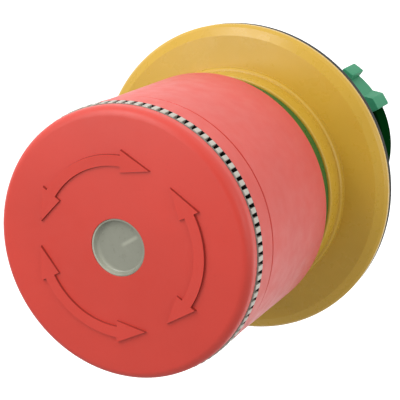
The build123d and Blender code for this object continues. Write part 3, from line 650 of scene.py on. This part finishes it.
class MakeGripRing(bpy.types.Operator):
    """Grip ring: a core in painted shade with a crown of bevelled teeth whose gaps deepen to the rear
    """

    bl_idname = "estop.make_grip_ring"
    bl_label = "Make grip ring"

    def execute(self, context):
        head = context.scene.estop_head
        inner = SPIGOT_RADIUS + FIT_GAP
        floor = RING_RADIUS - 1.0
        # a thin dark flange at the back of the core: a sheet in painted shade behind the gaps
        shade_sheet_front = RING_REAR - 0.12
        shade_sheet_radius = RING_RADIUS - 0.06
        bm = turned([
            (inner, RING_FRONT, 0.05),
            (RING_RADIUS - 0.12, RING_FRONT, 0.04),
            (RING_RADIUS - 0.2, RING_FRONT + 0.28, 0.04),
            (floor, RING_REAR - 0.6, 0),
            (floor, shade_sheet_front, 0),
            (shade_sheet_radius, shade_sheet_front, 0),
            (shade_sheet_radius, RING_REAR, 0),
            (inner, RING_REAR, 0.05),
        ])
        # the core takes the second material: painted shade
        for face in bm.faces:
            face.material_index = 1
        add_mesh(bm, self.crown(head.tooth_count, head.tooth_width, floor - 0.05))
        metal = tuple(head.metal)
        bright = plated_metal("plated metal", metal)
        ring = finished(bm, "toothed_ring", "head", "grip_ring", bright)
        shaded_gap_metal = gap_metal("gap metal in painted shade", metal, RING_FRONT + 1.1, RING_REAR - 0.4)
        ring.data.materials.append(shaded_gap_metal)
        return {"FINISHED"}

    @staticmethod
    def crown(count, width, root):
        """A bmesh: the teeth, each with its two outer edges bevelled."""
        tooth = bmesh.new()
        corners = (
            (root, RING_FRONT + 0.24), (RING_RADIUS, RING_FRONT + 0.12),
            (RING_RADIUS, RING_REAR - 0.04), (root, RING_REAR - 0.04),
        )
        sides = []
        for z in (-width / 2, width / 2):
            ring = [tooth.verts.new(Vector((r, y, z)) * MM) for r, y in corners]
            sides.append(tooth.faces.new(ring))
        bmesh.ops.bridge_loops(tooth, edges=[e for f in sides for e in f.edges])
        bmesh.ops.recalc_face_normals(tooth, faces=tooth.faces)
        outer_edges = [
            e for e in tooth.edges
            if all(v.co.x > (RING_RADIUS - 0.01) * MM for v in e.verts)
        ]
        bmesh.ops.bevel(
            tooth, geom=outer_edges, offset=0.12 * MM, offset_type="OFFSET", segments=2,
            profile=0.5, affect="EDGES", material=-1,
        )
        bmesh.ops.spin(
            tooth, geom=tooth.verts[:] + tooth.edges[:] + tooth.faces[:], cent=(0, 0, 0),
            axis=PUSH_AXIS, angle=2 * pi * (1 - 1 / count), steps=count - 1,
            use_merge=False, use_duplicate=True,
        )
        return tooth


class MakeSkirt(bpy.types.Operator):
    """Skirt: lip, long tapering wall, inner web and the hub that holds the spindle"""

    bl_idname = "estop.make_skirt"
    bl_label = "Make skirt"

    def execute(self, context):
        groove = RING_REAR + 4.4
        groove_bottom = LIP_RADIUS - 0.3
        web_front = RING_REAR + 2.8
        web_rear = RING_REAR + 5.0
        hub_front = SKIRT_FRONT + 2.0
        hub_rear = -33.0
        spigot_seat = SPIGOT_RADIUS + FIT_GAP
        bm = turned([
            (LIP_RADIUS, RING_REAR, 0.12),
            (LIP_RADIUS, groove - 0.32, 0.07),
            (groove_bottom, groove - 0.2, 0),
            (groove_bottom, groove + 0.2, 0),
            (LIP_RADIUS - 0.13, groove + 0.32, 0.07),
            (LIP_RADIUS - 0.34, -27.0, 0),
            (LIP_RADIUS - 0.55, SKIRT_REAR, 0.2),
            (SKIRT_INNER_RADIUS, SKIRT_REAR, 0.25),
            (SKIRT_INNER_RADIUS, web_rear, 0.6),
            (HUB_RADIUS, web_rear, 0.6),
            (HUB_RADIUS, hub_rear, 0.3),
            (HUB_BORE_RADIUS, hub_rear, 0.3),
            (HUB_BORE_RADIUS, hub_front, 0.2),
            (HUB_RADIUS, hub_front, 0.3),
            (HUB_RADIUS, web_front, 0.4),
            (spigot_seat, web_front, 0.1),
            (spigot_seat, RING_REAR, 0.05),
        ])
        red = bpy.data.materials["red plastic"]
        finished(bm, "skirt_shell", "head", "head_skirt", red)
        return {"FINISHED"}


# ---- operators: the parts that stay on the panel -------------------------------------------


class MakeIndicator(bpy.types.Operator):
    """Green sleeve that shows between the skirt and the bezel while the head is out"""

    bl_idname = "estop.make_indicator"
    bl_label = "Make indicator"

    def execute(self, context):
        green = moulded_plastic("green plastic", tuple(context.scene.estop_mount.green), 0.3)
        bm = turned(tube(DRUM_RADIUS + 0.05, SLEEVE_RADIUS, SLEEVE_FRONT, SLEEVE_REAR, 0.15))
        finished(bm, "indicator_band", "base", "indicator_sleeve", green)
        return {"FINISHED"}


class MakeBezel(bpy.types.Operator):
    """Yellow bezel: a shallow dish with a rounded rim, a bead and a collar"""

    bl_idname = "estop.make_bezel"
    bl_label = "Make bezel"

    def execute(self, context):
        mount = context.scene.estop_mount
        collar = SLEEVE_RADIUS + 0.45
        inner = DRUM_RADIUS + FIT_GAP
        plate_seat = PLATE_RADIUS + FIT_GAP
        bm = turned([
            (plate_seat, BEZEL_REAR, 0.1),
            (BEZEL_RADIUS, BEZEL_REAR, 0.3),
            (BEZEL_RADIUS, BEZEL_REAR - 0.9, mount.rim_rounding),
            (BEZEL_RADIUS - 0.45, BEZEL_REAR - 1.45, 0.3),
            (BEZEL_RADIUS - 1.85, BEZEL_REAR - 2.3, 0.2),
            (collar + 0.55, -4.08, 0.05),
            (collar + 0.5, -4.9, 0.1),
            (collar + 0.25, -5.25, 0.1),
            (collar, -5.3, 0.02),
            (collar, BEZEL_FRONT, 0.35),
            (inner, BEZEL_FRONT, 0.2),
            (inner, PLATE_FRONT, 0.1),
            (plate_seat, PLATE_FRONT, 0.1),
        ])
        yellow = moulded_plastic("yellow plastic", tuple(mount.yellow), 0.29)
        finished(bm, "bezel_dish", "base", "bezel", yellow)
        return {"FINISHED"}


class MakeGasket(bpy.types.Operator):
    """Flat rubber gasket behind the bezel"""

    bl_idname = "estop.make_gasket"
    bl_label = "Make gasket"

    def execute(self, context):
        bm = turned(tube(GASKET_HOLE_RADIUS, GASKET_RADIUS, GASKET_FRONT, GASKET_REAR, 0.2))
        rubber = bpy.data.materials["rubber"]
        finished(bm, "gasket_ring", "base", "panel_gasket", rubber)
        return {"FINISHED"}


THREAD_FRONT = 3.2
THREAD_ROOT = 10.3
STEPS_PER_TURN = 72


def add_thread(bm, pitch, front, rear):
    """Adds a helical ridge on the neck, closed at both ends."""
    turns = (rear - front - pitch / 2) / pitch
    thread = bmesh.new()
    sunk = THREAD_ROOT - 0.1
    profile = (
        (sunk, 0.0), (NECK_RADIUS, 0.32 * pitch), (NECK_RADIUS, 0.42 * pitch), (sunk, 0.74 * pitch),
    )
    corners = [thread.verts.new(polar(r, 0, front + rise)) for r, rise in profile]
    face = thread.faces.new(corners)
    steps = int(turns * STEPS_PER_TURN)
    bmesh.ops.spin(
        thread, geom=[face] + face.edges[:] + face.verts[:], cent=(0, 0, 0), axis=PUSH_AXIS,
        dvec=Vector(PUSH_AXIS) * pitch * turns * MM / steps, angle=2 * pi * turns, steps=steps,
        use_merge=False, use_duplicate=False,
    )
    bmesh.ops.recalc_face_normals(thread, faces=thread.faces)
    add_mesh(bm, thread)


class MakeBody(bpy.types.Operator):
    """Black body: the drum that holds the latch, the plate behind the bezel, the threaded neck"""

    bl_idname = "estop.make_body"
    bl_label = "Make body"

    def execute(self, context):
        mount = context.scene.estop_mount
        seat = GASKET_HOLE_RADIUS - FIT_GAP
        floor = BODY_FRONT + 15.6
        bm = turned([
            (DRUM_RADIUS, BODY_FRONT, 0.2),
            (DRUM_RADIUS, PLATE_FRONT, 0),
            (PLATE_RADIUS, PLATE_FRONT, 0.2),
            (PLATE_RADIUS, BEZEL_REAR, 0.1),
            (seat, BEZEL_REAR, 0.1),
            (seat, GASKET_REAR, 0.05),
            (NECK_RADIUS, GASKET_REAR, 0.05),
            (NECK_RADIUS, THREAD_FRONT - 0.2, 0.1),
            (THREAD_ROOT, THREAD_FRONT + 0.4, 0),
            (THREAD_ROOT, NECK_REAR, 0.1),
            (NECK_BORE_RADIUS, NECK_REAR, 0.2),
            (NECK_BORE_RADIUS, floor, 0.2),
            (DRUM_INNER_RADIUS, floor, 0.4),
            (DRUM_INNER_RADIUS, BODY_FRONT, 0.2),
        ])
        add_thread(bm, mount.thread_pitch, THREAD_FRONT, NECK_REAR)
        black = bpy.data.materials["black plastic"]
        finished(bm, "body_shell", "base", "mounting_body", black)
        return {"FINISHED"}


class MakeRetainer(bpy.types.Operator):
    """Ring that closes the rear end of the neck"""

    bl_idname = "estop.make_retainer"
    bl_label = "Make rear retainer"

    def execute(self, context):
        bore = PLUNGER_RADIUS + 0.2
        spigot = NECK_BORE_RADIUS - 0.05
        bm = turned([
            (bore, RETAINER_FRONT, 0.15),
            (spigot, RETAINER_FRONT, 0.2),
            (spigot, NECK_REAR, 0),
            (RETAINER_RADIUS, NECK_REAR, 0.1),
            (RETAINER_RADIUS, RETAINER_REAR, 0.4),
            (bore, RETAINER_REAR, 0.3),
        ])
        black = bpy.data.materials["black plastic"]
        finished(bm, "retainer_ring", "base", "rear_retainer", black)
        return {"FINISHED"}


PLUNGER_RADIUS = 7.2
LAMP_SOCKET_RADIUS = 5.5
LAMP_SOCKET_FLOOR = 17.0


class MakePlunger(bpy.types.Operator):
    """Plunger: the cup that holds the spindle's flange, two keys and the lamp socket's tube"""

    bl_idname = "estop.make_plunger"
    bl_label = "Make plunger"

    def execute(self, context):
        cup = 7.5
        cup_floor = PLUNGER_FRONT + 3.9
        ring_groove = cup + 0.5
        groove_front = PLUNGER_FRONT + 1.2
        groove_rear = PLUNGER_FRONT + 2.2
        shoulder = PLUNGER_FRONT + 6.0
        light_bore = 4.6
        key_root = 8.2
        key_top = 9.7
        key_span = 18
        bm = turned([
            (cup, PLUNGER_FRONT, 0.1),
            (PLUNGER_HEAD_RADIUS, PLUNGER_FRONT, 0.2),
            (PLUNGER_HEAD_RADIUS, shoulder, 0.15),
            (PLUNGER_RADIUS, shoulder, 0.15),
            (PLUNGER_RADIUS, PLUNGER_REAR, 0.35),
            (LAMP_SOCKET_RADIUS, PLUNGER_REAR, 0.3),
            (LAMP_SOCKET_RADIUS, LAMP_SOCKET_FLOOR, 0.2),
            (light_bore, LAMP_SOCKET_FLOOR, 0.1),
            (light_bore, cup_floor, 0.1),
            (cup, cup_floor, 0.1),
            (cup, groove_rear, 0),
            (ring_groove, groove_rear, 0),
            (ring_groove, groove_front, 0),
            (cup, groove_front, 0),
        ], steps=96)
        for middle in (90, 270):
            start = middle - key_span / 2
            ring_block(
                bm, key_root, key_top, PLUNGER_FRONT, shoulder, start, key_span, 4, 0.12,
            )
        black = bpy.data.materials["black plastic"]
        finished(bm, "plunger_tube", "push_unit", "plunger", black)
        return {"FINISHED"}


PAD_COUNT = 4
PAD_SPAN = 33.2
LUG_SPAN = 7.6
RAMP_SPAN = 5.0
SHOULDER_SPAN = 90 - PAD_SPAN
SHOULDER_FRONT = NUT_FRONT + 1.7
NUT_ROOT_RADIUS = NUT_RING_RADIUS - 0.5


class MakeNut(bpy.types.Operator):
    """Lock nut: a ring with two side shoulders and four pads, and a lug at each end of each pad"""

    bl_idname = "estop.make_nut"
    bl_label = "Make lock nut"

    def execute(self, context):
        mount = context.scene.estop_mount
        root = NUT_ROOT_RADIUS
        bm = turned([
            (NUT_BORE_RADIUS, NUT_FRONT, 0.4),
            (NUT_RING_RADIUS, NUT_FRONT, 0.3),
            (NUT_RING_RADIUS, NUT_REAR, 0.3),
            (NUT_BORE_RADIUS, NUT_REAR, 0.4),
        ])
        for side in (0, 180):
            start = side - SHOULDER_SPAN / 2 - 1
            ring_block(
                bm, root, NUT_RADIUS, SHOULDER_FRONT, NUT_REAR - 0.02, start, SHOULDER_SPAN + 2,
                24, 0.2,
            )
        # the ring and the shoulders take the second material, painted shade
        for face in bm.faces:
            face.material_index = 1
        for pad in range(PAD_COUNT):
            start = 45 - PAD_SPAN / 2 + pad * 360 / PAD_COUNT
            ring_block(bm, root, NUT_RADIUS - 0.02, NUT_FRONT, NUT_REAR, start, PAD_SPAN, 16, 0.15)
            for lug_start in (start, start + PAD_SPAN - LUG_SPAN):
                ring_block(
                    bm, root, LUG_RADIUS, NUT_FRONT, NUT_REAR, lug_start, LUG_SPAN, 4, 0.22,
                )
            self.add_ramp(bm, start + LUG_SPAN)
        pads = moulded_plastic("nut plastic", tuple(mount.nut), 0.55, gloss=0.12)
        nut = finished(bm, "lock_ring", "nut", "lock_nut", pads)
        nut_painted_shade = moulded_plastic("nut ring painted shade", tuple(mount.nut_ring_shade), 0.6, gloss=0.0)
        nut.data.materials.append(nut_painted_shade)
        return {"FINISHED"}

    @staticmethod
    def add_ramp(bm, start):
        """Adds the slope from a lug's top down to its pad."""
        top = LUG_RADIUS - 0.1
        inset = 0.03
        end = start + RAMP_SPAN
        corners = (
            (NUT_ROOT_RADIUS, start - 1), (top, start - 1), (top, start), (NUT_RADIUS - 0.1, end),
            (NUT_ROOT_RADIUS, end),
        )
        faces = []
        for depth in (NUT_FRONT + inset, NUT_REAR - inset):
            faces.append(bm.faces.new([bm.verts.new(polar(r, turn, depth)) for r, turn in corners]))
        edges = [e for f in faces for e in f.edges]
        sides = bmesh.ops.bridge_loops(bm, edges=edges)["faces"]
        bmesh.ops.recalc_face_normals(bm, faces=faces + sides)


class MakeWasher(bpy.types.Operator):
    """Plain steel washer in front of the nut"""

    bl_idname = "estop.make_washer"
    bl_label = "Make washer"

    def execute(self, context):
        bore = NUT_BORE_RADIUS + FIT_GAP
        bm = turned(tube(bore, WASHER_RADIUS, WASHER_FRONT, WASHER_REAR, 0.15))
        steel = bpy.data.materials["steel"]
        finished(bm, "washer_ring", "washer", "thrust_washer", steel)
        return {"FINISHED"}


class MakeMaterials(bpy.types.Operator):
    """Materials that more than one piece takes"""

    bl_idname = "estop.make_materials"
    bl_label = "Make shared materials"

    def execute(self, context):
        head = context.scene.estop_head
        mount = context.scene.estop_mount
        moulded_plastic("red plastic", tuple(head.red), 0.42, 1.0, 0.12, 0.52)
        moulded_plastic("black plastic", tuple(mount.black), 0.42)
        moulded_rubber("rubber", (0.068, 0.060, 0.044))
        bare_metal("steel", (0.55, 0.54, 0.52), 0.32)
        bare_metal("spring wire", (0.42, 0.41, 0.40), 0.28, stretch=(1, 0.2, 1))
        bare_metal("brass", (0.72, 0.50, 0.18), 0.26, stretch=(0.1, 1, 0.1))
        clear_plastic("clear plastic")
        return {"FINISHED"}


INNER_FINISHES = {
    "rubber": ("lens_seal", "spindle_seal"),
    "clear plastic": ("light_guide",),
    "brass": ("spindle", "guide_bush"),
    "black plastic": ("body_cover",),
    "spring wire": ("return_spring", "torsion_spring", "pawl_spring_left", "pawl_spring_right"),
    "steel": (
        "cap_screws", "cover_screws", "spindle_clip", "swivel_ring", "latch_plate",
        "pawl_left", "pawl_right",
    ),
}


class FinishInnerParts(bpy.types.Operator):
    """Gives the CAD parts inside the actuator their finishes"""

    bl_idname = "estop.finish_inner_parts"
    bl_label = "Finish inner parts"

    def execute(self, context):
        for material, nodes in INNER_FINISHES.items():
            for node in nodes:
                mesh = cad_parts[node].data
                mesh.materials.clear()
                mesh.materials.append(bpy.data.materials[material])
        return {"FINISHED"}


# ---- operators: the stage ------------------------------------------------------------------


TARGET = Vector((0, -18.886, 0)) * MM
LENS_SHIFT = (-0.00095, 0.0029)
FLOOR_HALF_SIZE = 12
FLOOR_DARK_UNTIL = 0.05
FLOOR_BRIGHT_FROM = 0.48

# name, power, size and place of each light; a size or a place is in metres
LIGHTS = (
    ("front panel", 1.1, 0.35, (-0.247, -0.50, 0.16)),
    ("key above", 0.42, 0.16, (-0.11, -0.22, 0.24)),
    ("side panel", 0.30, 0.26, (0.42, -0.16, 0.06)),
)

# the surroundings brighten towards this direction, between these two strengths
BRIGHT_DIRECTION = (-0.15, 0.75, 0.6)
ROOM_STRENGTH = (0.20, 1.4)


def area_light(name, energy, size, place_at):
    """A square soft light that points at the camera's target."""
    lamp = bpy.data.lights.new(name, "AREA")
    lamp.energy = energy
    lamp.size = size
    light = bpy.data.objects.new(name, lamp)
    bpy.context.scene.collection.objects.link(light)
    light.location = place_at
    light.rotation_euler = (TARGET - Vector(place_at)).to_track_quat("-Z", "Y").to_euler()


class MakeStage(bpy.types.Operator):
    """Pale floor, soft lights and the camera"""

    bl_idname = "estop.make_stage"
    bl_label = "Make stage"

    def execute(self, context):
        scene = context.scene
        stage = scene.estop_stage
        self.lay_floor(stage.floor_drop)
        scene.world = self.soft_room()
        scene.view_settings.view_transform = "Standard"
        for light in LIGHTS:
            area_light(*light)
        scene.camera = self.place_camera(stage)
        return {"FINISHED"}

    @staticmethod
    def lay_floor(drop):
        """A floor whose paint glows behind the actuator as a light, and is painted darker in front of
        it as painted shade.
        """
        bm = bmesh.new()
        bmesh.ops.create_grid(bm, x_segments=1, y_segments=1, size=FLOOR_HALF_SIZE)
        bmesh.ops.translate(bm, verts=bm.verts, vec=(0, 0, -drop))
        mesh = bpy.data.meshes.new("floor")
        bm.to_mesh(mesh)
        bm.free()
        floor = bpy.data.objects.new("floor", mesh)
        bpy.context.scene.collection.objects.link(floor)
        recipe = Recipe("floor glow and painted shade", 0.9)
        split = recipe.tree.nodes.new("ShaderNodeSeparateXYZ")
        recipe.link(recipe.coords, split, "Vector")
        # painted shade in front of the actuator, a glow like a light behind it
        behind = recipe.remap(split.outputs["Y"], FLOOR_DARK_UNTIL, FLOOR_BRIGHT_FROM, 0, 1)
        paint = recipe.blend(recipe.noise(3, 2), (0.86, 0.86, 0.86), (0.88, 0.88, 0.88))
        recipe.colour(recipe.blend(behind, (0.36, 0.36, 0.36), paint))
        glow = recipe.blend(behind, (0.06, 0.06, 0.06), (1.0, 1.0, 1.0))
        recipe.link(glow, recipe.shader, "Emission Color")
        recipe.shader.inputs["Emission Strength"].default_value = 0.5
        mesh.materials.append(recipe.material)

    @staticmethod
    def place_camera(stage):
        """A camera at the set angles and distance from its target."""
        azimuth, elevation = stage.azimuth, stage.elevation
        back = Vector((sin(azimuth) * cos(elevation), -cos(azimuth) * cos(elevation), sin(elevation)))
        right = Vector((cos(azimuth), sin(azimuth), 0))
        up = back.cross(right)
        camera_data = bpy.data.cameras.new("camera")
        camera_data.sensor_width = 36
        camera_data.lens = stage.lens_length
        camera_data.shift_x, camera_data.shift_y = LENS_SHIFT
        camera_data.clip_start = 0.01
        camera = bpy.data.objects.new("camera", camera_data)
        bpy.context.scene.collection.objects.link(camera)
        turn = Matrix((right, up, back)).transposed().to_4x4()
        camera.matrix_world = Matrix.Translation(TARGET + back * stage.distance) @ turn
        return camera

    @staticmethod
    def soft_room():
        """White surroundings, brightest behind and above the actuator."""
        world = bpy.data.worlds.new("soft white")
        world.use_nodes = True
        tree = world.node_tree
        coords = tree.nodes.new("ShaderNodeTexCoord")
        toward = tree.nodes.new("ShaderNodeVectorMath")
        toward.operation = "DOT_PRODUCT"
        toward.inputs[1].default_value = BRIGHT_DIRECTION
        tree.links.new(coords.outputs["Generated"], toward.inputs[0])
        strength = tree.nodes.new("ShaderNodeMapRange")
        strength.inputs["From Min"].default_value = -0.7
        strength.inputs["From Max"].default_value = 0.9
        strength.inputs["To Min"].default_value = ROOM_STRENGTH[0]
        strength.inputs["To Max"].default_value = ROOM_STRENGTH[1]
        tree.links.new(toward.outputs["Value"], strength.inputs["Value"])
        background = tree.nodes["Background"]
        background.inputs["Color"].default_value = (1, 1, 1, 1)
        tree.links.new(strength.outputs["Result"], background.inputs["Strength"])
        return world


# ---- panel and registration ----------------------------------------------------------------

MAKERS = (
    MakeMaterials, MakeCap, MakeLens, MakeGripRing, MakeSkirt, MakeIndicator, MakeBezel,
    MakeGasket, MakeBody, MakeRetainer, MakePlunger, MakeNut, MakeWasher, FinishInnerParts,
    MakeStage,
)
SETTINGS = (HeadSettings, MountSettings, StageSettings)


class ActuatorPanel(bpy.types.Panel):
    """Lists the steps that build the actuator"""

    bl_idname = "VIEW3D_PT_estop"
    bl_label = "Emergency stop actuator"
    bl_space_type = "VIEW_3D"
    bl_region_type = "UI"
    bl_category = "E-Stop"

    def draw(self, context):
        for maker in MAKERS:
            self.layout.operator(maker.bl_idname)


def register():
    for cls in (*SETTINGS, *MAKERS, ActuatorPanel):
        bpy.utils.register_class(cls)
    bpy.types.Scene.estop_head = bpy.props.PointerProperty(type=HeadSettings)
    bpy.types.Scene.estop_mount = bpy.props.PointerProperty(type=MountSettings)
    bpy.types.Scene.estop_stage = bpy.props.PointerProperty(type=StageSettings)


def unregister():
    del bpy.types.Scene.estop_stage
    del bpy.types.Scene.estop_mount
    del bpy.types.Scene.estop_head
    for cls in reversed((*SETTINGS, *MAKERS, ActuatorPanel)):
        bpy.utils.unregister_class(cls)


def main():
    register()
    for maker in MAKERS:
        name = maker.bl_idname.split(".")[1]
        getattr(bpy.ops.estop, name)()


if __name__ == "__main__":
    main()
